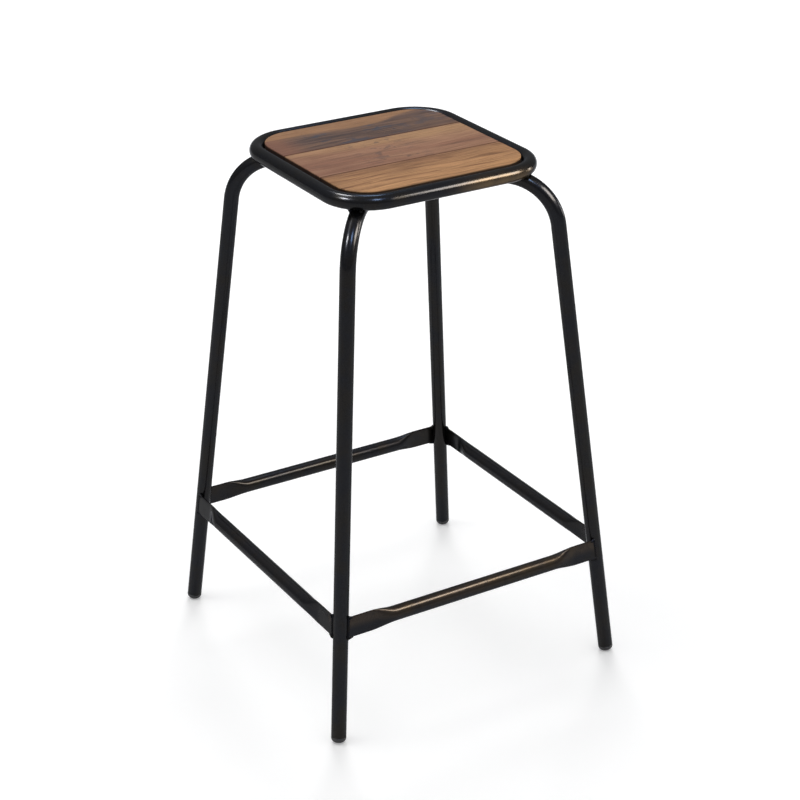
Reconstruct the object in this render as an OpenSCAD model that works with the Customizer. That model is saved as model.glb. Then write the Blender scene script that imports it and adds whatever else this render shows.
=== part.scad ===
// Bar stool: four bent tube legs under a rounded square hoop, three boards for a seat,
// and four footrest tubes with flattened ends. +Z is up, the floor is z = 0, the front faces -Y.

/* [Overall] */
// Height from the floor to the top of the boards
seat_h = 750; // [600:5:850]
// Width and depth over the outside of the seat hoop
seat_w = 323; // [280:1:400]
// Height of the footrest tubes above the floor
footrest_h = 171; // [120:1:260]

/* [Tube] */
// Outside diameter of every tube
tube_d = 21.3; // [16:0.1:26]
// Wall of every tube
tube_wall = 1.5; // [1:0.1:2.5]

/* [Seat hoop] */
// Centreline radius of the hoop's four corner bends
hoop_bend_r = 60; // [45:1:80]

/* [Boards] */
// Thickness of the boards
board_t = 16; // [14:0.1:22]
// Width of the front board, up to its joint with the middle board
front_board_w = 85; // [60:1:110]
// Width of the back board, up to its joint with the middle board
back_board_w = 91; // [60:1:110]
// Gap between the boards and the inside of the hoop
board_gap = 2; // [1.5:0.5:5]
// Gap between neighbouring boards
seam_w = 0.6; // [0.3:0.1:2]

/* [Legs] */
// Angle of each leg from the vertical, in the plane through opposite corners
leg_tilt = 7.65; // [4:0.05:10]
// Centreline radius of the bend under the seat
leg_bend_r = 74.5; // [55:0.5:90]
// Distance from the hoop's corner in to the place where the leg starts to bend
bend_inset = 30.5; // [20:0.5:36]

/* [Feet] */
// Length of the plug's rounded cap below the tube
foot_cap = 8; // [6:0.5:10]
// Rounding of the cap's edge
foot_edge_r = 6.5; // [2:0.5:7]
// Length of the plug inside the tube
foot_shank = 18; // [10:1:30]

/* [Footrest ends] */
// Thickness of a flattened end, two walls pressed together
blade_t = 3.2; // [2.4:0.1:5]
// Height of a flattened end
blade_h = 30; // [26:0.5:34]
// Length of the flat part, from the leg's centreline
blade_l = 40; // [30:1:60]
// Length over which the round tube becomes flat
press_l = 40; // [18:1:50]

/* [Seat screws] */
// Thread diameter of the wood screws
screw_d = 4; // [3:0.5:5]
// Length of the wood screws under the head
screw_l = 32; // [30:1:33]
// Distance of the inner screws from the middle of the seat
inner_screw_at = 40; // [30:1:50]
// Distance of the outer screws inside the start of a leg's bend
outer_screw_inset = 25; // [15:1:40]

/* [Welds] */
// Radius of a weld bead
bead_r = 2.6; // [2.4:0.1:3]
// Length of a bead between the hoop and a leg
hoop_bead_l = 11; // [6:1:14]
// How far a footrest bead runs past each edge of the flattened end
bead_run_out = 4; // [2:0.5:6]

/* [Hidden] */
$fn = 64;
// Finer rounds for the small shapes that are cut by tubes
fine_fn = 160;

// Small gaps between pieces that rest on or are welded to each other
touch_gap = 0.1;
// Gap all round the foot plug's shank, and around a screw in its holes
plug_gap = 0.3;
screw_gap = 0.25;
// Extra length of a cutting shape past the surface that it cuts
cut_past = 1;

// Tube: bending draws a bend in by a little, and it laps into the straight tubes beside it
tube_r = tube_d / 2;
bore_r = tube_r - tube_wall;
bend_lap = 0.5;
bend_draw = 0.15;
bend_tube_r = tube_r - bend_draw;

// Hoop: half width of its centreline, and the corner bends' centres
hoop_half = seat_w / 2 - tube_r;
hoop_corner = hoop_half - hoop_bend_r;
// Distance from the seat's middle to the hoop's centreline at a corner
hoop_reach = hoop_corner * sqrt(2) + hoop_bend_r;

// Legs, each in its own vertical plane: the bend's start, and the drop from hoop to leg
bend_start = hoop_reach - bend_inset;
touch_dist = 2 * bend_tube_r + touch_gap;
leg_drop = sqrt(pow(leg_bend_r + touch_dist, 2) - pow(bend_inset, 2)) - leg_bend_r;
leg_top_z = seat_h - board_t - touch_gap - tube_r;
hoop_z = leg_top_z + leg_drop;
bend_x = bend_start + leg_bend_r * cos(leg_tilt);
bend_z = leg_top_z - leg_bend_r * (1 - sin(leg_tilt));
// The foot's lowest point is on its rounded edge, and it stands on the floor
foot_z = foot_edge_r * (1 - cos(leg_tilt)) + (tube_r - foot_edge_r) * sin(leg_tilt);
leg_straight_l = (bend_z - foot_z) / cos(leg_tilt) - foot_cap;
// Angle round the bend at which the hoop touches the leg
touch_angle = asin(bend_inset / (leg_bend_r + touch_dist));

// A face of the stool holds two legs and a footrest, and slopes in towards the seat
face_slope = tan(leg_tilt) / sqrt(2);
face_tilt = atan(face_slope);
leg_lean = atan(face_slope * cos(face_tilt));
// Half the distance between two neighbouring legs' centrelines at the footrest
footrest_half = (bend_x + (bend_z - footrest_h) * tan(leg_tilt)) / sqrt(2);
// The flattened ends lie flush with the outside of the legs
footrest_out = tube_r - blade_t / 2;
// Where the end of the blade meets the round of the leg
blade_end = sqrt(pow(tube_r, 2) - pow(tube_r - blade_t, 2)) + touch_gap;
round_half = footrest_half - blade_l - press_l;

// Boards
board_half = hoop_half - tube_r - board_gap;
board_corner_r = hoop_bend_r - tube_r - board_gap;
board_z = seat_h - board_t;

// Screws: eight, two through each leg
outer_screw_at = bend_start - outer_screw_inset;
screw_head_r = screw_d;
screw_head_h = 2.4;
screw_tip_l = 4;
screw_depth_gap = 0.8;
screw_slot = [5, 1.2, 1.2];
screw_z = leg_top_z - tube_r - touch_gap;

// Weld beads
weld_cut_r = tube_r + touch_gap;
hoop_bead_side = 7.5;
hoop_bead_low = 1.6;
blade_bead_at = [5.6, 9];
cross_bead_r = 3;
cross_bead_l = 12;
cross_bead_at = tube_r * sqrt(2) + 1.4;

// Corners of the stool, as turns about Z from the +X axis
CORNERS = [["front_left", 225], ["front_right", 315], ["back_left", 135], ["back_right", 45]];
// Faces of the stool, as turns about Z from the front
FACES = [["front", 0], ["right", 90], ["back", 180], ["left", 270]];
function turn_of(list, name) = [for (item = list) if (item[0] == name) item[1]][0];

steel = [0.15, 0.16, 0.18];
weld_steel = [0.24, 0.24, 0.25];
zinc = [0.62, 0.6, 0.55];
plug_black = [0.07, 0.07, 0.08];
front_wood = [0.72, 0.53, 0.36];
middle_wood = [0.6, 0.43, 0.35];
back_wood = [0.5, 0.41, 0.37];

// ---- Tube ----

module tube_profile(r, bore) {
    difference() {
        circle(r);
        if (bore > 0)
            circle(bore);
    }
}

// A straight tube along +Z from the origin
module tube(length) {
    linear_extrude(length) tube_profile(tube_r, bore_r);
}

// A bend about the Z axis from start_angle through sweep_angle. It runs a little way into the
// straight tubes at its ends, so that they all become one solid.
module tube_bend(bend_r, start_angle, sweep_angle, r = bend_tube_r, bore = bore_r - bend_draw) {
    lap_angle = asin(bend_lap / bend_r);
    rotate([0, 0, start_angle - lap_angle])
        rotate_extrude(angle = sweep_angle + 2 * lap_angle)
            translate([bend_r, 0]) tube_profile(r, bore);
}

// ---- Seat ----

// Places its children at the centre of one of the hoop's bends
module at_hoop_bend() {
    translate([hoop_corner, hoop_corner, hoop_z]) children();
}

module seat_ring() {
    color(steel)
        for (turn = [0 : 90 : 270])
            rotate([0, 0, turn]) {
                at_hoop_bend() tube_bend(hoop_bend_r, 0, 90);
                translate([hoop_half, hoop_corner, hoop_z])
                    rotate([90, 0, 0]) tube(2 * hoop_corner);
            }
}

module seat_outline() {
    corner = board_half - board_corner_r;
    square([2 * board_half, 2 * corner], center = true);
    square([2 * corner, 2 * board_half], center = true);
    for (x = [-corner, corner], y = [-corner, corner])
        translate([x, y]) circle(board_corner_r);
}

// A board between two lines across the seat, with blind holes for the screws
module plank(from_y, to_y) {
    difference() {
        translate([0, 0, board_z])
            linear_extrude(board_t)
                intersection() {
                    seat_outline();
                    translate([-board_half - cut_past, from_y])
                        square([2 * (board_half + cut_past), to_y - from_y]);
                }
        at_screws()
            translate([0, 0, -cut_past])
                cylinder(h = screw_l + screw_depth_gap + cut_past, r = screw_d / 2 + screw_gap);
    }
}

front_seam_y = -board_half + front_board_w;
back_seam_y = board_half - back_board_w;

module plank_front() {
    color(front_wood) plank(-board_half - cut_past, front_seam_y - seam_w / 2);
}

module plank_middle() {
    color(middle_wood) plank(front_seam_y + seam_w / 2, back_seam_y - seam_w / 2);
}

module plank_back() {
    color(back_wood) plank(back_seam_y + seam_w / 2, board_half + cut_past);
}

// ---- Legs ----

// Places its children in a leg's plane, with +X from the seat's middle to the corner
module in_leg_plane(corner) {
    rotate([0, 0, turn_of(CORNERS, corner)]) children();
}

// Places its children at the end of the bend, with +Z down along the leg
module down_leg(distance) {
    translate([bend_x, 0, bend_z])
        rotate([180, -leg_tilt, 0])
            translate([0, 0, distance]) children();
}

// Places its children at the centre of a leg's bend
module at_leg_bend() {
    translate([bend_start, 0, leg_top_z - leg_bend_r]) children();
}

// The bent tube, from the seat's middle to the foot
module bent_tube() {
    translate([0, 0, leg_top_z])
        rotate([180, -90, 0]) tube(bend_start);
    at_leg_bend()
        rotate([90, 0, 0]) tube_bend(leg_bend_r, leg_tilt, 90 - leg_tilt);
    down_leg(0) tube(leg_straight_l);
}

// Cuts a leg's inner end to a right angle, so that the four meet in the middle
module mitre_cutters() {
    for (side = [-1, 1])
        translate([touch_gap, 0, leg_top_z])
            rotate([0, 0, side * 45])
                translate([-tube_d, side < 0 ? -2 * tube_d : 0, -tube_d])
                    cube([3 * tube_d, 2 * tube_d, 2 * tube_d]);
}

module leg(corner) {
    color(steel)
        in_leg_plane(corner)
            difference() {
                bent_tube();
                mitre_cutters();
                for (at = [inner_screw_at, outer_screw_at])
                    translate([at, 0, leg_top_z - tube_d])
                        cylinder(h = 2 * tube_d, r = screw_d / 2 + screw_gap);
            }
}

module leg_front_left() { leg("front_left"); }
module leg_front_right() { leg("front_right"); }
module leg_back_left() { leg("back_left"); }
module leg_back_right() { leg("back_right"); }

// ---- Feet ----

module foot_profile() {
    square([tube_r - foot_edge_r, foot_cap]);
    square([tube_r, foot_cap - foot_edge_r]);
    intersection() {
        translate([tube_r - foot_edge_r, foot_cap - foot_edge_r]) circle(foot_edge_r);
        square([tube_r, foot_cap]);
    }
}

module foot(corner) {
    shank_r = bore_r - plug_gap;
    color(plug_black)
        in_leg_plane(corner)
            down_leg(leg_straight_l) {
                rotate_extrude() foot_profile();
                translate([0, 0, -foot_shank]) cylinder(h = foot_shank, r = shank_r);
            }
}

module foot_front_left() { foot("front_left"); }
module foot_front_right() { foot("front_right"); }
module foot_back_left() { foot("back_left"); }
module foot_back_right() { foot("back_right"); }

// ---- Footrest tubes ----

// Places its children on a face: +X along the footrest, +Z up the sloping face and
// -Y out of it, with the legs' centrelines in the plane y = 0
module in_face(face) {
    rotate([0, 0, turn_of(FACES, face)])
        translate([0, -footrest_half, footrest_h])
            rotate([-face_tilt, 0, 0]) children();
}

press_steps = 7;
press_points = 32;
// A pressed end starts inside the end of the round tube, this far from its surface
press_skin = 0.04;
press_lap = 0.5;
function mix(a, b, t) = a + (b - a) * t;
function smooth(t) = t * t * (3 - 2 * t);
function power_sign(v, e) = sign(v) * pow(abs(v), e);
blade_squareness = 0.3;
round_r = tube_r - press_skin;

// One section of a pressed end: s = 0 is the round tube and s = 1 is the flat blade. The
// section leans with the leg as it becomes flat, so that the blade's end follows the leg.
function press_section(x, s) = [
    for (i = [0 : press_points - 1])
        let (a = 360 * i / press_points,
             y = mix(round_r, blade_t / 2, s) * power_sign(cos(a), mix(1, blade_squareness, s)),
             z = mix(round_r, blade_h / 2, s) * sin(a))
        [x - s * z * tan(leg_lean), y, z]
];

// The skin of a stack of sections, closed at both ends
function skin_faces(rings, count) = concat(
    [[for (i = [0 : count - 1]) i]],
    [for (j = [0 : rings - 2], i = [0 : count - 1])
        let (a = j * count + i, b = j * count + (i + 1) % count)
        [a, a + count, b]],
    [for (j = [0 : rings - 2], i = [0 : count - 1])
        let (a = j * count + i, b = j * count + (i + 1) % count)
        [a + count, b + count, b]],
    [[for (i = [count - 1 : -1 : 0]) (rings - 1) * count + i]]
);

module pressed_end() {
    stations = concat(
        [[round_half - press_lap, 0]],
        [for (k = [1 : press_steps]) [round_half + press_l * k / press_steps, k / press_steps]],
        [[footrest_half - blade_end / cos(leg_lean), 1]]
    );
    polyhedron(
        points = [for (at = stations) each press_section(at[0], smooth(at[1]))],
        faces = skin_faces(len(stations), press_points)
    );
}

module footrest(face) {
    bore_half = round_half - tube_wall;
    color(steel)
        in_face(face)
            translate([0, -footrest_out, 0])
                difference() {
                    union() {
                        translate([-round_half, 0, 0])
                            rotate([0, 90, 0]) cylinder(h = 2 * round_half, r = tube_r);
                        pressed_end();
                        mirror([1, 0, 0]) pressed_end();
                    }
                    translate([-bore_half, 0, 0])
                        rotate([0, 90, 0]) cylinder(h = 2 * bore_half, r = bore_r);
                }
}

module footrest_front() { footrest("front"); }
module footrest_right() { footrest("right"); }
module footrest_back() { footrest("back"); }
module footrest_left() { footrest("left"); }

// ---- Welds ----

// Two beads at each corner, one on each side of the leg, under the hoop
module ring_welds() {
    $fn = fine_fn;
    color(weld_steel)
        for (corner = CORNERS)
            in_leg_plane(corner[0])
                for (side = [-1, 1])
                    difference() {
                        at_leg_bend()
                            rotate([0, touch_angle, 0])
                                translate([-hoop_bead_l / 2, side * hoop_bead_side,
                                           leg_bend_r + tube_r - hoop_bead_low])
                                    rotate([0, 90, 0]) cylinder(h = hoop_bead_l, r = bead_r);
                        rotate([0, 0, -45])
                            at_hoop_bend() tube_bend(hoop_bend_r, 0, 90, weld_cut_r, 0);
                        at_leg_bend()
                            rotate([90, 0, 0])
                                tube_bend(leg_bend_r, leg_tilt, 90 - leg_tilt, weld_cut_r, 0);
                    }
}

// The space that a flattened end takes, beside a leg that stands along +Z: it ends parallel to
// the leg, and its long edges are level
module blade_space(height) {
    intersection() {
        translate([-blade_end - tube_d, -tube_r, -height])
            cube([tube_d, blade_t, 2 * height]);
        rotate([0, leg_lean, 0])
            cube([4 * tube_d, 4 * tube_d, blade_h], center = true);
    }
}

// A bead in the groove between each flattened end and its leg
module footrest_welds() {
    bead_l = blade_h + 2 * bead_run_out;
    color(weld_steel)
        for (face = FACES)
            in_face(face[0])
                for (side = [0, 1])
                    mirror([side, 0, 0])
                        translate([footrest_half, 0, 0])
                            rotate([0, -leg_lean, 0])
                                difference() {
                                    translate([-blade_bead_at[0], -blade_bead_at[1], -bead_l / 2])
                                        cylinder(h = bead_l, r = bead_r);
                                    cylinder(h = 2 * bead_l, r = weld_cut_r, center = true);
                                    blade_space(bead_l);
                                }
}

// A bead in each of the four corners where the legs meet under the seat
module cross_welds() {
    color(weld_steel)
        for (turn = [0 : 90 : 270])
            rotate([0, 0, turn])
                difference() {
                    translate([cross_bead_at, 0, leg_top_z - cross_bead_l / 2])
                        cylinder(h = cross_bead_l, r = cross_bead_r);
                    for (side = [-45, 45])
                        rotate([0, 0, side])
                            translate([0, 0, leg_top_z])
                                rotate([0, 90, 0]) cylinder(h = 2 * cross_bead_at, r = weld_cut_r);
                }
}

// ---- Screws ----

// Places its children under each screw's head, with +Z up into the boards
module at_screws() {
    for (corner = CORNERS, at = [inner_screw_at, outer_screw_at])
        in_leg_plane(corner[0])
            translate([at, 0, screw_z]) children();
}

module screw() {
    shank_l = screw_l - screw_tip_l;
    difference() {
        translate([0, 0, -screw_head_h]) cylinder(h = screw_head_h, r = screw_head_r);
        for (turn = [0, 90])
            rotate([0, 0, turn])
                translate([-screw_slot[0] / 2, -screw_slot[1] / 2, -screw_head_h - cut_past])
                    cube([screw_slot[0], screw_slot[1], screw_slot[2] + cut_past]);
    }
    cylinder(h = shank_l, r = screw_d / 2);
    translate([0, 0, shank_l]) cylinder(h = screw_tip_l, r1 = screw_d / 2, r2 = screw_d / 8);
}

module seat_screws() {
    color(zinc) at_screws() screw();
}

seat_ring();
plank_front();
plank_middle();
plank_back();
leg_front_left();
leg_front_right();
leg_back_left();
leg_back_right();
footrest_front();
footrest_right();
footrest_back();
footrest_left();
foot_front_left();
foot_front_right();
foot_back_left();
foot_back_right();
ring_welds();
footrest_welds();
cross_welds();
seat_screws();
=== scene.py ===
import math

import bmesh
import bpy
from bpy.props import FloatProperty, FloatVectorProperty, PointerProperty
from mathutils import Matrix, Vector


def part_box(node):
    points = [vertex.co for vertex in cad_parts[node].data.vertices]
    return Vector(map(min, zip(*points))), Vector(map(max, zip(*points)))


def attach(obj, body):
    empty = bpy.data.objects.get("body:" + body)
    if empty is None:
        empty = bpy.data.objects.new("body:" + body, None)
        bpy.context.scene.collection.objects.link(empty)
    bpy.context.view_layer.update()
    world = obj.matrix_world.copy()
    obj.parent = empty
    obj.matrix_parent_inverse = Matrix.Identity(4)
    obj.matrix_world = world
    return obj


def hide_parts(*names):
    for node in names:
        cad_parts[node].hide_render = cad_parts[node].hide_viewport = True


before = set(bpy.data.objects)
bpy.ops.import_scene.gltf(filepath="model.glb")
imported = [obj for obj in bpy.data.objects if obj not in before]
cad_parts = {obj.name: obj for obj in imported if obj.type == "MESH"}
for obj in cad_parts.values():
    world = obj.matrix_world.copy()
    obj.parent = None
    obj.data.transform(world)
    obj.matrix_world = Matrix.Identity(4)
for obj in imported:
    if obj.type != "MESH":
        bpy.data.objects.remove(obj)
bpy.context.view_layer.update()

bl_info = {
    "name": "Bar Stool",
    "version": (1, 0, 0),
    "blender": (4, 5, 0),
    "location": "View3D > Sidebar > Bar Stool",
    "description": "A bar stool of bent steel tube with a seat of boards and pressed-end footrests",
    "category": "Add Mesh",
}

BODY = "root"
MM = 0.001

# Angle in degrees past which an edge is shown sharp, and the sides of a weld bead
SHARP_ANGLE, BEAD_SEGMENTS = 40.0, 12
# How much larger the boards are all round than in the CAD model, where they have more room
BOARD_SWELL = 1.4 * MM
# Between the legs where they meet, and between a footrest's pressed end and a leg
CONTACT_GAP = 0.1 * MM
# A foot plug's lip under the tube, and its shank: how far inside the tube's outside, how long
PLUG_LIP, PLUG_SHANK_INSET, PLUG_SHANK_L = 0.4 * MM, 1.8 * MM, 18 * MM
# Rounding of the rim at a leg's lower end
LEG_RIM = 0.7 * MM

# What the frame says about the stool
RING_LOW, RING_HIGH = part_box("seat_ring")
LEG_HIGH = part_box("leg_front_left")[1]
FRONT_LOW, FRONT_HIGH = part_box("plank_front")
BACK_LOW, BACK_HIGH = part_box("plank_back")
TUBE_R = (RING_HIGH.z - RING_LOW.z) / 2
HOOP_Z = (RING_HIGH.z + RING_LOW.z) / 2
HOOP_HALF = RING_HIGH.x - TUBE_R
LEG_TOP_Z = LEG_HIGH.z - TUBE_R
BOARD_HALF = BACK_HIGH.y

# Corners of the stool, as turns about Z from +X, and its faces, as turns from the front
CORNERS = {"front_left": 225, "front_right": 315, "back_left": 135, "back_right": 45}
FACES = {"front": 0, "right": 90, "back": 180, "left": 270}


def turned(degrees, axis="Z"):
    return Matrix.Rotation(math.radians(degrees), 4, axis)


def moved(x=0.0, y=0.0, z=0.0):
    return Matrix.Translation((x, y, z))


def linear(red, green, blue):
    """A colour that is given as it looks on a screen, from 0 to 255."""
    return tuple(
        c / 12.92 if c <= 0.04045 else ((c + 0.055) / 1.055) ** 2.4
        for c in (red / 255, green / 255, blue / 255)
    )


# ---------------------------------------------------------------- sizes and colours


class StoolSizes(bpy.types.PropertyGroup):
    """Sizes of the stool's pieces."""

    hoop_bend_r: FloatProperty(
        name="Hoop Bend", description="Radius of the hoop's corners, to the tube's centreline",
        default=60 * MM, min=30 * MM, max=100 * MM, unit="LENGTH")
    leg_bend_r: FloatProperty(
        name="Leg Bend", description="Radius of the bend at the top of a leg, to its centreline",
        default=74.5 * MM, min=50 * MM, max=100 * MM, unit="LENGTH")
    bend_inset: FloatProperty(
        name="Bend Inset", description="How far inside the hoop's corner a leg's bend starts",
        default=30.5 * MM, min=10 * MM, max=50 * MM, unit="LENGTH")
    leg_tilt: FloatProperty(
        name="Leg Tilt", description="Lean of a leg from upright",
        default=math.radians(7.65), min=0.0, max=math.radians(12), unit="ROTATION")
    foot_cap: FloatProperty(
        name="Foot Height", description="Height of the rounded plug below the end of the tube",
        default=8 * MM, min=3 * MM, max=12 * MM, unit="LENGTH")
    foot_edge: FloatProperty(
        name="Foot Rounding", description="Radius of the rounded plug's lower edge",
        default=6.5 * MM, min=1 * MM, max=7 * MM, unit="LENGTH")
    footrest_h: FloatProperty(
        name="Footrest Height", description="Height of the footrests above the floor",
        default=171 * MM, min=120 * MM, max=300 * MM, unit="LENGTH")
    blade_t: FloatProperty(
        name="Blade Thickness", description="Thickness of the pressed ends of a footrest",
        default=3.2 * MM, min=2 * MM, max=5 * MM, unit="LENGTH")
    blade_h: FloatProperty(
        name="Blade Height", description="Height of the pressed ends of a footrest",
        default=30 * MM, min=24 * MM, max=32 * MM, unit="LENGTH")
    blade_l: FloatProperty(
        name="Blade Length", description="Length of a pressed end, from the leg's centreline",
        default=40 * MM, min=25 * MM, max=70 * MM, unit="LENGTH")
    press_l: FloatProperty(
        name="Press Length", description="Length over which the round tube turns flat",
        default=40 * MM, min=15 * MM, max=50 * MM, unit="LENGTH")
    board_edge: FloatProperty(
        name="Board Edge", description="Radius of the worn edges of the boards",
        default=1.1 * MM, min=0.2 * MM, max=3 * MM, unit="LENGTH")
    bead_r: FloatProperty(
        name="Bead Radius", description="Radius of a weld bead",
        default=2.6 * MM, min=1.5 * MM, max=4 * MM, unit="LENGTH")


class StoolColours(bpy.types.PropertyGroup):
    """Colours of the stool's finishes."""

    steel: FloatVectorProperty(
        name="Steel", description="Dark steel under its lacquer", subtype="COLOR", size=3,
        min=0.0, max=1.0, default=linear(23, 24, 28))
    patina: FloatVectorProperty(
        name="Patina", description="Brown cast of the steel under its lacquer", subtype="COLOR",
        size=3, min=0.0, max=1.0, default=linear(28, 26, 24))
    # Bronze of rubbed steel, also used as painted highlight colour on the hoop and the front
    # footrest
    bronze: FloatVectorProperty(
        name="Rubbed Steel", description="Bronze tone of the steel where it is rubbed",
        subtype="COLOR", size=3, min=0.0, max=1.0, default=linear(114, 94, 68))
    honey: FloatVectorProperty(
        name="Honey Board", description="Light tone of the front board", subtype="COLOR",
        size=3, min=0.0, max=1.0, default=linear(177, 132, 90))
    mauve: FloatVectorProperty(
        name="Brown Board", description="Main tone of the middle board", subtype="COLOR",
        size=3, min=0.0, max=1.0, default=linear(152, 113, 88))
    umber: FloatVectorProperty(
        name="Grey Board", description="Dark tone of the back board", subtype="COLOR",
        size=3, min=0.0, max=1.0, default=linear(92, 72, 64))


# ---------------------------------------------------------------- materials


class Socket:
    """A node's output that can be used in sums like a number."""

    def __init__(self, tree, output):
        self.tree, self.output = tree, output

    def _math(self, operation, *values):
        return self.tree.add("ShaderNodeMath", {"operation": operation}, dict(enumerate(values)))

    def __add__(self, other):
        return self._math("ADD", self, other)

    def __radd__(self, other):
        return self._math("ADD", other, self)

    def __sub__(self, other):
        return self._math("SUBTRACT", self, other)

    def __rsub__(self, other):
        return self._math("SUBTRACT", other, self)

    def __mul__(self, other):
        return self._math("MULTIPLY", self, other)

    def __rmul__(self, other):
        return self._math("MULTIPLY", other, self)

    def __truediv__(self, other):
        return self._math("DIVIDE", self, other)

    def __pow__(self, other):
        return self._math("POWER", self, other)

    def size(self):
        """Its absolute value."""
        return self._math("ABSOLUTE", self)

    def between(self, low, high, to_low=0.0, to_high=1.0):
        """Rises smoothly from to_low at low to to_high at high."""
        return self.tree.add(
            "ShaderNodeMapRange", {"interpolation_type": "SMOOTHSTEP"},
            {0: self, 1: low, 2: high, 3: to_low, 4: to_high})


class Finish:
    """A material and the nodes that make it."""

    def __init__(self, name):
        self.material = bpy.data.materials.new(name)
        self.material.use_nodes = True
        self.tree = self.material.node_tree
        self.tree.nodes.clear()
        self.place = self.add("ShaderNodeTexCoord", output="Object")
        split = self.add("ShaderNodeSeparateXYZ", sockets={0: self.place}, output=None)
        self.x, self.y, self.z = (Socket(self, split.outputs[i]) for i in range(3))

    def add(self, kind, settings=None, sockets=None, output=0):
        """Adds a node. Settings come first, then the values or links of its sockets."""
        node = self.tree.nodes.new(kind)
        for key, value in (settings or {}).items():
            setattr(node, key, value)
        for key, value in (sockets or {}).items():
            if isinstance(value, Socket):
                self.tree.links.new(value.output, node.inputs[key])
            else:
                node.inputs[key].default_value = value
        return node if output is None else Socket(self, node.outputs[output])

    def stretched(self, scale, offset=(0.0, 0.0, 0.0)):
        """Object coordinates, scaled and shifted."""
        return self.add("ShaderNodeMapping", None,
                        {"Vector": self.place, "Location": offset, "Scale": scale})

    def noise(self, scale, detail=3.0, roughness=0.55, at=None, distortion=0.0):
        return self.add("ShaderNodeTexNoise", {"noise_dimensions": "3D"},
                        {"Vector": at or self.place, "Scale": scale, "Detail": detail,
                         "Roughness": roughness, "Distortion": distortion})

    def mix(self, amount, one, other):
        """One colour where amount is 0, and the other where it is 1."""
        first, second = (v if isinstance(v, Socket) else (*v, 1.0) for v in (one, other))
        return self.add("ShaderNodeMix", {"data_type": "RGBA"},
                        {0: amount, 6: first, 7: second}, output=2)

    def shaded(self, colour, amount):
        """A colour made darker or lighter by an amount around 1."""
        return self.add("ShaderNodeVectorMath", {"operation": "SCALE"},
                        {0: colour, "Scale": amount})

    def bump(self, height, depth, strength):
        return self.add("ShaderNodeBump", None,
                        {"Height": height, "Distance": depth, "Strength": strength})

    def done(self, **sockets):
        """Joins the shader, whose sockets are given by name with _ for a space."""
        named = {key.replace("_", " "): value for key, value in sockets.items()}
        shader = self.add("ShaderNodeBsdfPrincipled", None, named)
        self.add("ShaderNodeOutputMaterial", None, {"Surface": shader}, output=None)
        return self.material


def frame_steel(name, colours, rub_and_sheen=None, dull=0.0):
    """Dark steel under a worn lacquer. rub_and_sheen(finish) says where it is rubbed bronze, which
    also stands as painted highlight colour.
    """
    f = Finish(name)
    cloud = f.noise(11.0, 4.0, 0.6)
    blotch = f.noise(46.0, 5.0, 0.62, distortion=0.6)
    speck = f.noise(620.0, 2.0, 0.6)
    brown = (cloud * 0.65 + blotch * 0.35).between(0.42, 0.6)
    worn = (blotch * 0.7 + speck * 0.3).between(0.56, 0.72)
    colour = f.mix(brown, colours.steel, colours.patina)
    colour = f.shaded(colour, speck.between(0.3, 0.75, 0.72, 1.35))
    metal = 0.82 + worn * 0.15
    if rub_and_sheen:
        # Bronze where the steel is rubbed, and also a painted golden edge to the highlights there
        rub_and_sheen_amount = rub_and_sheen(f) * (blotch * 0.8 + speck * 0.2).between(0.3, 0.56, 0.45, 1.0)
        colour = f.mix(rub_and_sheen_amount, colour, colours.bronze)
    rough = 0.18 + dull + blotch * 0.12 + speck * 0.03 - worn * 0.03
    ripple = f.noise(140.0, 3.0, 0.5) * 0.7 + speck * 0.3
    return f.done(
        Base_Color=colour, Metallic=metal, Roughness=rough,
        Normal=f.bump(ripple, 0.00004, 0.5), Specular_Tint=(0.3, 0.32, 0.36, 1.0),
        Coat_Weight=0.15, Coat_Roughness=0.13)


def weld_metal(name, colours):
    """Lacquered weld metal, browner and rougher than the tubes."""
    f = Finish(name)
    blotch = f.noise(160.0, 4.0, 0.6)
    speck = f.noise(900.0, 2.0, 0.6)
    colour = f.mix(blotch.between(0.4, 0.62), colours.steel, colours.patina)
    return f.done(
        Base_Color=f.shaded(colour, speck.between(0.3, 0.7, 0.7, 1.3)),
        Metallic=0.8 + speck * 0.15, Roughness=0.28 + blotch * 0.2,
        Normal=f.bump(blotch * 0.6 + speck * 0.4, 0.0002, 0.6),
        Specular_Tint=(0.3, 0.32, 0.36, 1.0))


def plug_plastic(name):
    """Black plastic with the fine grain of its mould, scuffed pale where it meets the floor."""
    f = Finish(name)
    grain = f.noise(1500.0, 2.0, 0.5)
    scuff = f.noise(240.0, 4.0, 0.7, distortion=0.8).between(0.5, 0.68) * (
        f.z.between(0.001, 0.006, 1.0, 0.15))
    colour = f.mix(scuff, linear(24, 24, 27), linear(56, 54, 50))
    return f.done(Base_Color=colour, Roughness=0.52 + scuff * 0.25 + grain * 0.08,
                  Normal=f.bump(grain, 0.00006, 0.6))


def zinc(name):
    """Zinc plating with a faint yellow cast and a few dull spots."""
    f = Finish(name)
    spots = f.noise(380.0, 4.0, 0.65)
    lines = f.noise(90.0, 2.0, 0.5, at=f.stretched((14.0, 14.0, 1.0)))
    colour = f.mix(spots.between(0.45, 0.65), linear(186, 182, 168), linear(140, 128, 104))
    return f.done(Base_Color=colour, Metallic=0.95 - spots.between(0.55, 0.7) * 0.3,
                  Roughness=0.3 + spots * 0.25, Normal=f.bump(lines, 0.00004, 0.5))


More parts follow.
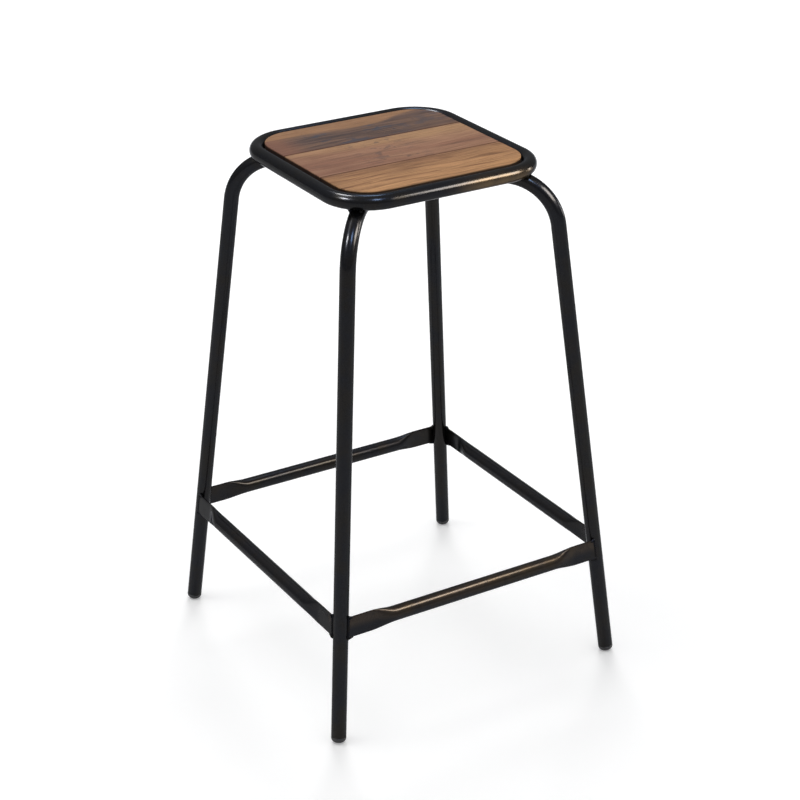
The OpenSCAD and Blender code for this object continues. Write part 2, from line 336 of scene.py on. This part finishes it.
def board_grain(f, shift):
    """The parts of a board's grain, which runs along X: broad bands, streaks, lines, pores."""
    wander = f.noise(7.0, 2.0, 0.5, at=f.stretched((0.6, 1.0, 1.0), shift))
    along = f.add("ShaderNodeCombineXYZ", None, {
        0: f.x + shift[0], 1: f.y * 14.0 + wander * 0.55 + shift[1],
        2: f.z * 14.0 + shift[2]})
    finer = f.add("ShaderNodeCombineXYZ", None, {
        0: f.x * 1.6 + shift[0], 1: f.y * 46.0 + wander * 0.8, 2: f.z * 40.0})
    band = f.noise(4.2, 2.0, 0.5, at=along)
    streak = f.noise(9.5, 4.0, 0.6, at=along, distortion=0.25)
    line = f.noise(11.0, 3.0, 0.62, at=finer)
    pore = f.noise(30.0, 2.0, 0.6, at=finer)
    return band, streak, line, pore


def board_done(f, colour, streak, line, pore):
    """Oiled satin wood: the pores are small dark pits, and the grain stands a little proud.
    The sides of a board are darkened below its top as painted shade, where they face away from the
    light, and its top is darker along each seam."""
    pit = pore.between(0.6, 0.7)
    colour = f.mix(pit * 0.35, colour, linear(66, 42, 30))
    for seam in (FRONT_HIGH.y, BACK_LOW.y):
        near = (f.y - seam).size().between(0.0008, 0.0028, 0.6, 0.0)
        colour = f.mix(near, colour, linear(84, 48, 36))
    # Painted shade: the sides of a board, below its top, are made near black where they face away
    # from the light
    side = f.z.between(BACK_HIGH.z - 0.0019, BACK_HIGH.z - 0.0006, 1.0, 0.0)
    colour = f.mix(side * 0.9, colour, linear(34, 22, 18))
    height = line * 0.5 + streak * 0.5 - pit * 0.55
    return f.done(Base_Color=colour, Roughness=0.52 + line * 0.14 + pit * 0.12,
                  Normal=f.bump(height, 0.00035, 0.5), Specular_IOR_Level=0.08)


def honey_board(name, colours):
    f = Finish(name)
    band, streak, line, pore = board_grain(f, (3.1, 0.4, 1.7))
    colour = f.mix(band.between(0.36, 0.66), linear(156, 115, 79), colours.honey)
    colour = f.mix(streak.between(0.48, 0.64) * 0.8, colour, linear(115, 78, 51))
    # Golden towards the front edge, and a browner stripe along the seam
    inner = (f.y - FRONT_LOW.y + (streak - 0.5) * 0.03)
    colour = f.mix(inner.between(0.0, 0.028, 0.5, 0.0), colour, linear(193, 144, 97))
    colour = f.mix(inner.between(0.05, 0.08) * f.x.between(0.0, 0.1, 0.6, 0.2), colour,
                   linear(117, 80, 56))
    colour = f.shaded(colour, line.between(0.3, 0.7, 1.3, 0.74))
    return board_done(f, colour, streak, line, pore)


def brown_board(name, colours):
    f = Finish(name)
    band, streak, line, pore = board_grain(f, (8.3, 2.9, 0.6))
    colour = f.mix(band.between(0.38, 0.64), linear(136, 96, 75), colours.mauve)
    # A tan part along the rear edge, which widens to the right
    reach = f.y - FRONT_HIGH.y - 0.062 + f.x * 0.16 + (streak - 0.5) * 0.055
    colour = f.mix(reach.between(-0.014, 0.03) * 0.85, colour, linear(166, 129, 92))
    blush = f.noise(6.5, 3.0, 0.5, at=f.stretched((1.0, 2.2, 1.0), (4.0, 1.0, 0.0)))
    colour = f.mix(blush.between(0.48, 0.68) * 0.5, colour, linear(155, 115, 91))
    colour = f.mix(streak.between(0.52, 0.68) * 0.55, colour, linear(101, 73, 61))
    fleck = f.noise(60.0, 3.0, 0.6, at=f.stretched((0.8, 1.1, 1.0), (2.0, 5.0, 0.0)))
    near = (f.x + 0.01).size().between(0.0, 0.07, 1.0, 0.0)
    colour = f.mix(fleck.between(0.53, 0.62) * near * 0.6, colour, linear(88, 73, 70))
    colour = f.shaded(colour, line.between(0.3, 0.7, 1.22, 0.8))
    return board_done(f, colour, streak, line, pore)


def grey_board(name, colours):
    f = Finish(name)
    band, streak, line, pore = board_grain(f, (1.2, 6.1, 3.3))
    colour = f.mix(band.between(0.36, 0.62), colours.umber, linear(114, 87, 71))
    # Reddish towards the left end, and grey-blue streaks and bruises through the middle
    colour = f.mix(f.x.between(-0.125, -0.085, 0.8, 0.0), colour, linear(127, 87, 68))
    middle = f.y - BACK_LOW.y - 0.034 - f.x * 0.05
    middle = middle.size().between(0.014, 0.05, 1.0, 0.0) * f.x.between(-0.125, -0.08)
    dark = streak.between(0.45, 0.58) * middle * f.x.between(0.03, 0.09, 0.72, 0.4)
    colour = f.mix(dark, colour, linear(68, 56, 53))
    bruise = f.noise(26.0, 3.0, 0.6, at=f.stretched((0.8, 1.7, 1.0), (0.7, 2.4, 0.0)))
    bruise = bruise.between(0.52, 0.62) * middle * f.x.between(0.03, 0.08, 0.8, 0.45)
    colour = f.mix(bruise, colour, linear(60, 64, 75))
    # The tan strip along the rear edge has a slanting, ragged border
    wide = f.x.between(-0.12, 0.0, 0.026, 0.034) - f.x.between(0.02, 0.13) * 0.03
    strip = f.y - BACK_HIGH.y + wide + (streak - 0.5) * 0.03 + (line - 0.5) * 0.02
    colour = f.mix(strip.between(-0.003, 0.004) * 0.9, colour, linear(149, 111, 79))
    colour = f.shaded(colour, line.between(0.3, 0.7, 1.24, 0.78))
    return board_done(f, colour, streak, line, pore)


def floor_paint(name):
    """A pale matte floor with a barely visible mottle."""
    f = Finish(name)
    mottle = f.noise(0.8, 3.0, 0.5)
    colour = f.mix(mottle, linear(250, 250, 250), linear(253, 253, 253))
    return f.done(Base_Color=colour, Roughness=0.85 + mottle * 0.1, Specular_IOR_Level=0.1,
                  Emission_Color=colour, Emission_Strength=0.2)


# ---------------------------------------------------------------- mesh tools


def new_piece(name, bm, material, nodes):
    """Makes a finished piece of a bmesh, which rides on the stool and stands for CAD nodes."""
    bmesh.ops.remove_doubles(bm, verts=bm.verts, dist=1e-6)
    bmesh.ops.recalc_face_normals(bm, faces=bm.faces)
    mesh = bpy.data.meshes.new(name)
    bm.to_mesh(mesh)
    bm.free()
    mesh.shade_smooth()
    mesh.set_sharp_from_angle(angle=math.radians(SHARP_ANGLE))
    piece = bpy.data.objects.new(name, mesh)
    bpy.context.scene.collection.objects.link(piece)
    mesh.materials.append(material)
    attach(piece, BODY)
    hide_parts(*nodes)


def points_of(edges):
    return list({vert for edge in edges for vert in edge.verts})


def circle(bm, radius, matrix, segments=48):
    """The edges of a new circle, which faces along the matrix's Z."""
    made = bmesh.ops.create_circle(
        bm, cap_ends=False, radius=radius, segments=segments, matrix=matrix)
    return list({edge for vert in made["verts"] for edge in vert.link_edges})


def extruded(bm, edges, step):
    """Pulls a loop of edges along by a step, and returns the new loop."""
    made = bmesh.ops.extrude_edge_only(bm, edges=edges)["geom"]
    verts = [g for g in made if isinstance(g, bmesh.types.BMVert)]
    bmesh.ops.translate(bm, verts=verts, vec=step)
    return [g for g in made if isinstance(g, bmesh.types.BMEdge)]


def bent(bm, edges, centre, axis, angle, steps):
    """Turns a loop of edges about an axis, and returns the new loop."""
    made = bmesh.ops.spin(
        bm, geom=points_of(edges) + edges, cent=centre, axis=axis, dvec=(0, 0, 0), angle=angle,
        steps=steps, use_merge=False, use_normal_flip=False, use_duplicate=False)
    return [g for g in made["geom_last"] if isinstance(g, bmesh.types.BMEdge)]


def closed(bm, edges, rim=0.0):
    """Closes a tube's end with a face, and rounds its rim where one is given."""
    face = bmesh.ops.edgeloop_fill(bm, edges=edges)["faces"][0]
    if rim:
        bmesh.ops.bevel(bm, geom=list(face.edges), offset=rim, offset_type="OFFSET",
                        segments=3, profile=0.5, affect="EDGES", material=-1)


def cut_off(bm, point, normal):
    """Cuts off what lies beyond a plane and closes the cut."""
    geom = list(bm.verts) + list(bm.edges) + list(bm.faces)
    cut = bmesh.ops.bisect_plane(bm, geom=geom, dist=1e-7, plane_co=point, plane_no=normal,
                                 clear_outer=True)["geom_cut"]
    edges = [g for g in cut if isinstance(g, bmesh.types.BMEdge)]
    bmesh.ops.holes_fill(bm, edges=edges, sides=0)


def bead(bm, matrix, path, radii):
    """A closed bead of weld metal along a path of points, with a radius at each."""
    edges = None
    before = set(bm.verts)
    for i, (point, radius) in enumerate(zip(path, radii)):
        ahead = Vector(path[min(i + 1, len(path) - 1)]) - Vector(path[max(i - 1, 0)])
        way = ahead.to_track_quat("Z", "X").to_matrix().to_4x4()
        place = Matrix.Translation(point) @ way
        ring = circle(bm, radius, place, BEAD_SEGMENTS)
        if edges:
            bmesh.ops.bridge_loops(bm, edges=edges + ring)
        else:
            bmesh.ops.edgeloop_fill(bm, edges=ring)
        edges = ring
    bmesh.ops.edgeloop_fill(bm, edges=edges)
    bmesh.ops.transform(bm, matrix=matrix, verts=[v for v in bm.verts if v not in before])


def rippled(length, radius, phase):
    """Distances and radii along a bead, which swells at each ripple and thins at its ends."""
    pitch, ends = 2.3 * MM, 2.4 * MM
    count = max(int(length / (pitch / 4)), 8)
    stations = []
    for k in range(count + 1):
        at = length * k / count
        wave = 1 + 0.09 * math.sin(2 * math.pi * at / pitch + phase)
        end = min(at, length - at) / ends
        fade = 1.0 if end >= 1 else 0.25 + 0.75 * math.sqrt(max(end * (2 - end), 0.0))
        stations.append((at, radius * wave * fade))
    return stations


def face_place(sizes, face):
    """The place of a face of the stool: +X along the footrest, +Z up the slope, -Y outwards."""
    slope = math.tan(sizes.leg_tilt) / math.sqrt(2)
    tilt = math.atan(slope)
    lean = math.atan(slope * math.cos(tilt))
    bend_x = leg_bend_start(sizes) + sizes.leg_bend_r * math.cos(sizes.leg_tilt)
    bend_z = LEG_TOP_Z - sizes.leg_bend_r * (1 - math.sin(sizes.leg_tilt))
    half = (bend_x + (bend_z - sizes.footrest_h) * math.tan(sizes.leg_tilt)) / math.sqrt(2)
    place = (turned(FACES[face]) @ moved(0, -half, sizes.footrest_h)
             @ Matrix.Rotation(-tilt, 4, "X"))
    return place, half, lean


def blade_end(sizes):
    """Where the end of a footrest's blade meets the round of a leg, from the leg's middle."""
    return math.sqrt(TUBE_R ** 2 - (TUBE_R - sizes.blade_t) ** 2) + CONTACT_GAP


def leg_bend_start(sizes):
    corner = HOOP_HALF - sizes.hoop_bend_r
    return corner * math.sqrt(2) + sizes.hoop_bend_r - sizes.bend_inset


def leg_end(sizes, corner):
    """The place of a leg's lower end, with +Z down along the leg, and its straight length."""
    tilt = sizes.leg_tilt
    bend_x = leg_bend_start(sizes) + sizes.leg_bend_r * math.cos(tilt)
    bend_z = LEG_TOP_Z - sizes.leg_bend_r * (1 - math.sin(tilt))
    foot_z = (sizes.foot_edge * (1 - math.cos(tilt))
              + (TUBE_R - sizes.foot_edge) * math.sin(tilt))
    length = (bend_z - foot_z) / math.cos(tilt) - sizes.foot_cap
    top = (turned(CORNERS[corner]) @ moved(bend_x, 0, bend_z)
           @ Matrix.Rotation(-tilt, 4, "Y") @ turned(180, "X"))
    return top @ moved(z=length), length


# ---------------------------------------------------------------- pieces


def hoop_rub_and_sheen(f):
    """Where the hoop is rubbed bronze, which also paints the golden lower edge of the highlight
    there: the outside of its front, towards the right corner, mostly below the tube's middle.
    """
    # Partly rubbed steel, partly a painted highlight edge
    spot = (f.x - 0.07).size().between(0.01, 0.09, 1.0, 0.0) * f.y.between(-0.15, -0.14, 1.0, 0.0)
    return spot * f.z.between(HOOP_Z - 0.002, HOOP_Z + 0.007, 0.5, 0.1)


def footrest_rub_and_sheen(f):
    """Where feet have rubbed the footrests, which also paints the bronze edge of the front one's
    highlight: the upper side, and mainly the front one.
    """
    # Partly rubbed steel, partly a painted highlight edge on the front footrest
    front = f.y.between(-0.2, -0.19, 0.14, 0.02)
    height = bpy.context.scene.stool_sizes.footrest_h
    return (f.z - height).between(-0.004, 0.008) * front


class BuildHoop(bpy.types.Operator):
    """Makes the round-cornered hoop round the seat"""

    bl_idname = "stool.build_hoop"
    bl_label = "Hoop"

    def execute(self, context):
        sizes, colours = context.scene.stool_sizes, context.scene.stool_colours
        corner = HOOP_HALF - sizes.hoop_bend_r
        bm = bmesh.new()
        edges = circle(bm, TUBE_R, moved(HOOP_HALF, -corner, HOOP_Z) @ turned(90, "X"))
        for turn in (0, 90, 180, 270):
            way = turned(turn)
            edges = extruded(bm, edges, way @ Vector((0, 2 * corner, 0)))
            edges = bent(bm, edges, way @ Vector((corner, corner, HOOP_Z)), (0, 0, 1),
                         math.radians(90), steps=24)
        new_piece("hoop", bm, frame_steel("hoop_steel", colours, hoop_rub_and_sheen),
                  ["seat_ring"])
        return {"FINISHED"}


class BuildBoards(bpy.types.Operator):
    """Makes the three boards of the seat, with worn edges and rounded outer corners"""

    bl_idname = "stool.build_boards"
    bl_label = "Boards"

    def execute(self, context):
        sizes, colours = context.scene.stool_sizes, context.scene.stool_colours
        corner_r = BOARD_HALF - (HOOP_HALF - sizes.hoop_bend_r)
        boards = {
            "front": (honey_board, "honey_board", -1),
            "middle": (brown_board, "brown_board", 0),
            "back": (grey_board, "grey_board", 1),
        }
        for name, (finish, slot, outer) in boards.items():
            low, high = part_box("plank_" + name)
            bm = bmesh.new()
            middle, size = (low + high) / 2, high - low
            bmesh.ops.create_cube(
                bm, size=1.0, matrix=Matrix.Translation(middle) @ Matrix.Diagonal((*size, 1)))
            upright = [e for e in bm.edges
                       if abs(e.verts[0].co.z - e.verts[1].co.z) > size.z / 2
                       and (e.verts[0].co.y - middle.y) * outer > 0]
            if upright:
                bmesh.ops.bevel(bm, geom=upright, offset=corner_r, offset_type="OFFSET",
                                segments=20, profile=0.5, affect="EDGES", material=-1)
            rims = [e for e in bm.edges
                    if len(e.link_faces) == 2 and e.calc_face_angle(0) > math.radians(60)]
            bmesh.ops.bevel(bm, geom=rims, offset=sizes.board_edge, offset_type="OFFSET",
                            segments=4, profile=0.5, affect="EDGES", material=-1)
            swell = (BOARD_HALF + BOARD_SWELL) / BOARD_HALF
            bmesh.ops.scale(bm, vec=(swell, swell, 1), verts=bm.verts)
            new_piece("board_" + name, bm, finish(slot, colours), ["plank_" + name])
        return {"FINISHED"}


class BuildLegs(bpy.types.Operator):
    """Makes the four bent legs, which meet under the seat"""

    bl_idname = "stool.build_legs"
    bl_label = "Legs"

    def execute(self, context):
        sizes, colours = context.scene.stool_sizes, context.scene.stool_colours
        steel = frame_steel("leg_steel", colours)
        start, tilt = leg_bend_start(sizes), sizes.leg_tilt
        for corner, turn in CORNERS.items():
            length = leg_end(sizes, corner)[1]
            bm = bmesh.new()
            first = circle(bm, TUBE_R, moved(z=LEG_TOP_Z) @ turned(90, "Y"))
            edges = extruded(bm, first, (start, 0, 0))
            bmesh.ops.edgeloop_fill(bm, edges=first)
            edges = bent(bm, edges, (start, 0, LEG_TOP_Z - sizes.leg_bend_r), (0, 1, 0),
                         math.radians(90) - tilt, steps=28)
            down = Vector((math.sin(tilt), 0, -math.cos(tilt)))
            edges = extruded(bm, edges, down * length)
            closed(bm, edges, LEG_RIM)
            for side in (-1, 1):
                cut_off(bm, (CONTACT_GAP, 0, LEG_TOP_Z), (-1, side, 0))
            bmesh.ops.transform(bm, matrix=turned(turn), verts=bm.verts)
            new_piece("leg_tube_" + corner, bm, steel, ["leg_" + corner])
        return {"FINISHED"}


class BuildFeet(bpy.types.Operator):
    """Makes the rounded plugs that close the legs' lower ends"""

    bl_idname = "stool.build_feet"
    bl_label = "Feet"

    def execute(self, context):
        sizes = context.scene.stool_sizes
        plastic = plug_plastic("foot_plastic")
        for corner in CORNERS:
            place = leg_end(sizes, corner)[0]
            bm = bmesh.new()
            edges = circle(bm, TUBE_R - PLUG_SHANK_INSET, moved(z=-PLUG_SHANK_L))
            bmesh.ops.edgeloop_fill(bm, edges=edges)
            edges = extruded(bm, edges, (0, 0, PLUG_SHANK_L))
            for radius, step in ((TUBE_R - PLUG_LIP, 0.0), (TUBE_R, PLUG_LIP)):
                edges = extruded(bm, edges, (0, 0, step))
                for vert in points_of(edges):
                    vert.co.xy = vert.co.xy.normalized() * radius
            edges = extruded(bm, edges, (0, 0, sizes.foot_cap - PLUG_LIP))
            closed(bm, edges)
            rim = [e for e in edges if e.is_valid]
            bmesh.ops.bevel(bm, geom=rim, offset=sizes.foot_edge, offset_type="OFFSET",
                            segments=8, profile=0.5, affect="EDGES", material=-1)
            bmesh.ops.transform(bm, matrix=place, verts=bm.verts)
            new_piece("foot_plug_" + corner, bm, plastic, ["foot_" + corner])
        return {"FINISHED"}


class BuildFootrests(bpy.types.Operator):
    """Makes the footrest tubes, whose ends are pressed flat"""

    bl_idname = "stool.build_footrests"
    bl_label = "Footrests"

    def execute(self, context):
        sizes, colours = context.scene.stool_sizes, context.scene.stool_colours
        steel = frame_steel("footrest_steel", colours, footrest_rub_and_sheen, dull=0.06)
        steps, squareness = 24, 0.3
        for face in FACES:
            place, half, lean = face_place(sizes, face)
            out = TUBE_R - sizes.blade_t / 2
            round_half = half - sizes.blade_l - sizes.press_l
            tip = half - blade_end(sizes) / math.cos(lean)
            bm = bmesh.new()
            edges = circle(bm, TUBE_R, turned(90, "Y"), segments=64)
            edges = extruded(bm, edges, (round_half, 0, 0))
            angles = {v: math.atan2(v.co.z, v.co.y) for v in points_of(edges)}
            stations = [(round_half + sizes.press_l * k / steps, k / steps)
                        for k in range(1, steps + 1)] + [(tip, 1.0)]
            for x, part in stations:
                part = part * part * (3 - 2 * part)
                edges = extruded(bm, edges, (0, 0, 0))
                angles = {v: min((((o.co - v.co).length, a) for o, a in angles.items()))[1]
                          for v in points_of(edges)}
                power = 1 + (squareness - 1) * part
                depth = TUBE_R + (sizes.blade_t / 2 - TUBE_R) * part
                height = TUBE_R + (sizes.blade_h / 2 - TUBE_R) * part
                for v, a in angles.items():
                    y = depth * math.copysign(abs(math.cos(a)) ** power, math.cos(a))
                    z = height * math.sin(a)
                    v.co = (x - part * z * math.tan(lean), y, z)
            closed(bm, edges)
            bmesh.ops.mirror(bm, geom=list(bm.verts) + list(bm.edges) + list(bm.faces),
                             matrix=Matrix.Identity(4), merge_dist=1e-6, axis="X")
            bmesh.ops.transform(bm, matrix=place @ moved(y=-out), verts=bm.verts)
            new_piece("footrest_tube_" + face, bm, steel,
                      ["footrest_" + face])
        return {"FINISHED"}


class BuildWelds(bpy.types.Operator):
    """Makes the weld beads at the footrests and under the hoop"""

    bl_idname = "stool.build_welds"
    bl_label = "Welds"

    def execute(self, context):
        sizes, colours = context.scene.stool_sizes, context.scene.stool_colours
        metal = weld_metal("weld_metal", colours)
        bm = bmesh.new()
        for n, face in enumerate(FACES):
            place, half, lean = face_place(sizes, face)
            for side in (1, -1):
                flip = Matrix.Diagonal((side, 1, 1, 1))
                at_leg = (place @ flip @ moved(x=half) @ Matrix.Rotation(-lean, 4, "Y"))
                length = sizes.blade_h + 6 * MM
                stations = rippled(length, sizes.bead_r - 0.6 * MM, n * 1.7 + side)
                across, out = 1.3 * MM - blade_end(sizes), sizes.blade_t / 2 - TUBE_R
                bead(bm, at_leg, [(across, out, at - length / 2) for at, _ in stations],
                     [radius for _, radius in stations])
                # Short fillets over and under the pressed end, where it meets the leg
                for up in (1, -1):
                    edge = up * sizes.blade_h / 2
                    path = [(across - k * 1.6 * MM, out, edge - up * 0.6 * MM)
                            for k in range(6)]
                    bead(bm, at_leg, path, [(3.3 - 0.5 * k) * MM for k in range(6)])
        new_piece("footrest_beads", bm, metal, ["footrest_welds"])

        bm = bmesh.new()
        start = leg_bend_start(sizes)
        touch_r = sizes.leg_bend_r + 2 * TUBE_R - 0.2 * MM
        touch = math.asin(sizes.bend_inset / touch_r)
        for n, turn in enumerate(CORNERS.values()):
            for side in (-1, 1):
                at_touch = (turned(turn) @ moved(start, 0, LEG_TOP_Z - sizes.leg_bend_r)
                            @ Matrix.Rotation(touch, 4, "Y"))
                length, aside = 12 * MM, side * 6.6 * MM
                stations = rippled(length, sizes.bead_r - 0.3 * MM, n + side)
                low = sizes.leg_bend_r + TUBE_R - 1.2 * MM
                bead(bm, at_touch,
                     [(at - length / 2, aside, low) for at, _ in stations],
                     [radius for _, radius in stations])
                # A short fillet beside the leg, from the bead down its side
                path = [(0, side * out * MM, low - down * MM)
                        for out, down in ((9.2, 8), (9.6, 5), (10.1, 2.5), (10.8, 0.5))]
                bead(bm, at_touch, path, [0.6 * MM, 1.1 * MM, 1.5 * MM, 1.7 * MM])
        new_piece("hoop_beads", bm, metal, ["ring_welds"])
        return {"FINISHED"}


class FinishHardware(bpy.types.Operator):
    """Gives the hidden welds and the screws under the seat their finishes"""

    bl_idname = "stool.finish_hardware"
    bl_label = "Screws And Hidden Welds"

    def execute(self, context):
        colours = context.scene.stool_colours
        finishes = {"cross_welds": weld_metal("cross_weld_metal", colours),
                    "seat_screws": zinc("screw_zinc")}
        for node, material in finishes.items():
            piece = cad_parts[node]
            for slot in piece.material_slots:
                slot.material = material
            piece.data.shade_smooth()
            piece.data.set_sharp_from_angle(angle=math.radians(35))
        return {"FINISHED"}


CAMERA_AZIMUTH, CAMERA_ELEVATION, CAMERA_ROLL = -30.88, 25.47, -0.36
CAMERA_DISTANCE, CAMERA_AIM_Z = 2.9783, 0.3510
CAMERA_SHIFT = (0.0091, 0.0188)
CAMERA_LENS = 93.21

# The sky's light, and the lamps: name, direction (turn from +X and height), distance, size,
# brightness, tint, and whether the lamp lights surfaces and whether it shows in their gloss
WORLD_LOW, WORLD_HIGH, WORLD_STRENGTH = (0.5, 0.51, 0.53), (1.0, 1.0, 1.0), 0.8
LIGHTS = (
    ("key", (150, 60), 3.0, (1.0, 1.0), 3.2, (1.0, 0.99, 0.97), True, True),
    ("backdrop", (60, 33), 7.0, (3.0, 3.0), 7.0, (1.0, 1.0, 1.0), True, False),
    ("back", (104, 62), 2.2, (0.5, 0.5), 42.0, (1.0, 1.0, 1.0), False, True),
    ("back_right", (58, 60), 2.2, (0.4, 0.4), 26.0, (0.45, 0.66, 1.0), False, True),
    ("left", (182, 43), 2.2, (0.42, 0.5), 76.0, (1.0, 1.0, 1.0), False, True),
    ("front", (-98, 50), 2.2, (0.4, 0.5), 40.0, (0.4, 0.6, 1.0), False, True),
    ("warm", (-54, 26), 0.8, (0.37, 0.27), 32.0, (1.0, 0.9, 0.76), False, True),
    ("low_right", (-12, 4), 2.2, (0.2, 0.6), 36.0, (1.0, 0.93, 0.82), False, True),
)


class BuildStage(bpy.types.Operator):
    """Makes the pale floor, the soft lights and the camera"""

    bl_idname = "stool.build_stage"
    bl_label = "Stage"

    def execute(self, context):
        scene = context.scene
        bm = bmesh.new()
        bmesh.ops.create_circle(bm, cap_ends=True, radius=30.0, segments=64)
        mesh = bpy.data.meshes.new("floor")
        bm.to_mesh(mesh)
        bm.free()
        floor = bpy.data.objects.new("floor", mesh)
        scene.collection.objects.link(floor)
        mesh.materials.append(floor_paint("floor_paint"))

        world = bpy.data.worlds.new("studio")
        world.use_nodes = True
        links, nodes = world.node_tree.links, world.node_tree.nodes
        back = nodes["Background"]
        way = nodes.new("ShaderNodeTexCoord")
        split = nodes.new("ShaderNodeSeparateXYZ")
        ramp = nodes.new("ShaderNodeValToRGB")
        links.new(way.outputs["Generated"], split.inputs[0])
        links.new(split.outputs[2], ramp.inputs[0])
        links.new(ramp.outputs[0], back.inputs["Color"])
        ramp.color_ramp.elements[0].color = (*WORLD_LOW, 1.0)
        ramp.color_ramp.elements[1].color = (*WORLD_HIGH, 1.0)
        back.inputs["Strength"].default_value = WORLD_STRENGTH
        scene.world = world

        aim = Vector((0, 0, 0.7))
        for name, way, distance, size, radiance, colour, lights, shows in LIGHTS:
            azimuth, elevation = way
            lamp = bpy.data.lights.new(name, "AREA")
            lamp.shape, lamp.size, lamp.size_y = "RECTANGLE", *size
            lamp.energy, lamp.color = radiance * math.pi * size[0] * size[1], colour
            light = bpy.data.objects.new(name, lamp)
            scene.collection.objects.link(light)
            across, up = math.radians(azimuth), math.radians(elevation)
            way = Vector((math.cos(across) * math.cos(up), math.sin(across) * math.cos(up),
                          math.sin(up)))
            light.location = aim + way * distance
            light.rotation_euler = way.to_track_quat("Z", "Y").to_euler()
            light.visible_diffuse, light.visible_glossy = lights, shows
            light.visible_camera = False

        data = bpy.data.cameras.new("camera")
        data.sensor_width, data.lens = 36.0, CAMERA_LENS
        data.clip_start, data.clip_end = 0.05, 100.0
        camera = bpy.data.objects.new("camera", data)
        scene.collection.objects.link(camera)
        across, up = math.radians(CAMERA_AZIMUTH), math.radians(CAMERA_ELEVATION)
        back_way = Vector((math.sin(across) * math.cos(up), -math.cos(across) * math.cos(up),
                           math.sin(up)))
        right = (-back_way).cross(Vector((0, 0, 1))).normalized()
        above = right.cross(-back_way)
        roll = math.radians(CAMERA_ROLL)
        right, above = (math.cos(roll) * right + math.sin(roll) * above,
                        math.cos(roll) * above - math.sin(roll) * right)
        place = (back_way * CAMERA_DISTANCE + Vector((0, 0, CAMERA_AIM_Z))
                 + right * CAMERA_SHIFT[0] + above * CAMERA_SHIFT[1])
        camera.matrix_world = (Matrix.Translation(place)
                               @ Matrix((right, above, back_way)).transposed().to_4x4())
        scene.camera = camera
        scene.view_settings.view_transform = "Standard"
        return {"FINISHED"}


class StoolPanel(bpy.types.Panel):
    bl_idname = "STOOL_PT_panel"
    bl_label = "Bar Stool"
    bl_space_type = "VIEW_3D"
    bl_region_type = "UI"
    bl_category = "Bar Stool"

    def draw(self, context):
        layout = self.layout
        for group in (context.scene.stool_sizes, context.scene.stool_colours):
            box = layout.box()
            for name in group.__annotations__:
                box.prop(group, name)
        for step in STEPS:
            layout.operator(step.bl_idname)


STEPS = (BuildHoop, BuildBoards, BuildLegs, BuildFeet, BuildFootrests, BuildWelds,
         FinishHardware, BuildStage)
CLASSES = (StoolSizes, StoolColours, *STEPS, StoolPanel)


def register():
    for item in CLASSES:
        bpy.utils.register_class(item)
    bpy.types.Scene.stool_sizes = PointerProperty(type=StoolSizes)
    bpy.types.Scene.stool_colours = PointerProperty(type=StoolColours)


def unregister():
    del bpy.types.Scene.stool_colours, bpy.types.Scene.stool_sizes
    for item in reversed(CLASSES):
        bpy.utils.unregister_class(item)


def main():
    register()
    bpy.ops.stool.build_hoop()
    bpy.ops.stool.build_boards()
    bpy.ops.stool.build_legs()
    bpy.ops.stool.build_feet()
    bpy.ops.stool.build_footrests()
    bpy.ops.stool.build_welds()
    bpy.ops.stool.finish_hardware()
    bpy.ops.stool.build_stage()


if __name__ == "__main__":
    main()
